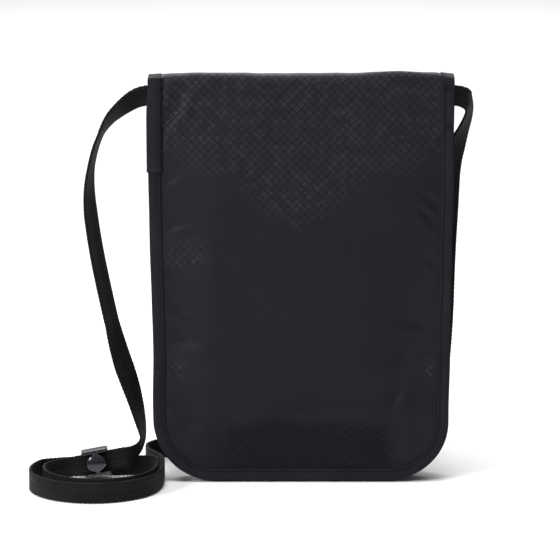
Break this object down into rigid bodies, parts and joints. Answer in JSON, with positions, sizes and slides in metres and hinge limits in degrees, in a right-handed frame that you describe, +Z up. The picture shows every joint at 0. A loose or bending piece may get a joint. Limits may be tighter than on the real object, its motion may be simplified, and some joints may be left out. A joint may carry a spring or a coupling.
{
  "type": "neck pouch wallet",
  "caption": "Flat upright travel pouch with a full-height flap over zipped and open pockets, on a long webbing neck strap.",
  "frame": {"origin": "on the floor under the middle of the pouch, the bottom centre of its box without the strap", "axes": "+Z up along the pouch's height, +X to the right of someone facing the flap, -Y out of the flap"},
  "size_m": [0.2156, 0.0954, 0.198],
  "materials": {
    "patterned_cloth": "black polyester with a woven diamond pattern and a satin sheen",
    "lining_cloth": "plain black lining cloth",
    "fold_cloth": "plain satin black polyester",
    "edge_tape": "black ribbed edge tape",
    "zip_tape": "black herringbone zip tape",
    "zip_teeth": "black nylon coil",
    "dark_metal": "black lacquered zinc",
    "hook_tape": "black hook tape",
    "loop_tape": "black napped loop tape",
    "webbing": "black herringbone webbing",
    "adjuster_plastic": "glossy black moulded plastic"
  },
  "bodies": {
    "pouch": {"back_panel_upper": "patterned_cloth", "back_panel_lower": "patterned_cloth", "back_lining": "lining_cloth", "divider_panel": "lining_cloth", "front_panel_upper": "lining_cloth", "front_panel_lower": "lining_cloth", "slip_pocket_panel": "lining_cloth", "body_binding": "edge_tape", "slip_pocket_hem": "edge_tape", "front_zip_tape_upper": "zip_tape", "front_zip_tape_lower": "zip_tape", "back_zip_tape_upper": "zip_tape", "back_zip_tape_lower": "zip_tape", "front_zip_teeth": "zip_teeth", "back_zip_teeth": "zip_teeth", "front_zip_stops": "dark_metal", "back_zip_stops": "dark_metal", "loop_patch": "loop_tape", "strap_anchor_left": "webbing", "strap_anchor_right": "webbing", "strap_left_run": "webbing", "strap_flat_run": "webbing", "strap_coil": "webbing", "strap_right_run": "webbing"},
    "flap": {"flap_panel": "patterned_cloth", "flap_lining": "lining_cloth", "flap_binding": "edge_tape", "flap_top_fold": "fold_cloth", "binding_overlap_end": "edge_tape", "hook_patch": "hook_tape"},
    "front_slider": {"front_zip_slider": "dark_metal"},
    "front_pull": {"front_zip_pull": "dark_metal"},
    "back_slider": {"back_zip_slider": "dark_metal"},
    "back_pull": {"back_zip_pull": "dark_metal"},
    "adjuster": {"strap_adjuster": "adjuster_plastic"}
  },
  "joints": [
    {"name": "flap_hinge", "type": "hinge", "parent": "pouch", "child": "flap", "pos_m": [0, 0.00555, 0.1945], "axis": [-1, 0, 0], "range_deg": [0, 180]},
    {"name": "front_zip_slide", "type": "slide", "parent": "pouch", "child": "front_slider", "axis": [-1, 0, 0], "range_m": [0, 0.1004]},
    {"name": "front_pull_swing", "type": "hinge", "parent": "front_slider", "child": "front_pull", "pos_m": [0.0502, -0.0066, 0.15], "axis": [0, 1, 0], "range_deg": [-40, 40]},
    {"name": "back_zip_slide", "type": "slide", "parent": "pouch", "child": "back_slider", "axis": [-1, 0, 0], "range_m": [0, 0.1004]},
    {"name": "back_pull_lift", "type": "hinge", "parent": "back_slider", "child": "back_pull", "pos_m": [0.0502, 0.0083, 0.158], "axis": [1, 0, 0], "range_deg": [0, 160]},
    {"name": "adjuster_slide", "type": "slide", "parent": "pouch", "child": "adjuster", "axis": [-0.983, -0.0733, -0.1685], "range_m": [-0.005, 0.005]}
  ]
}
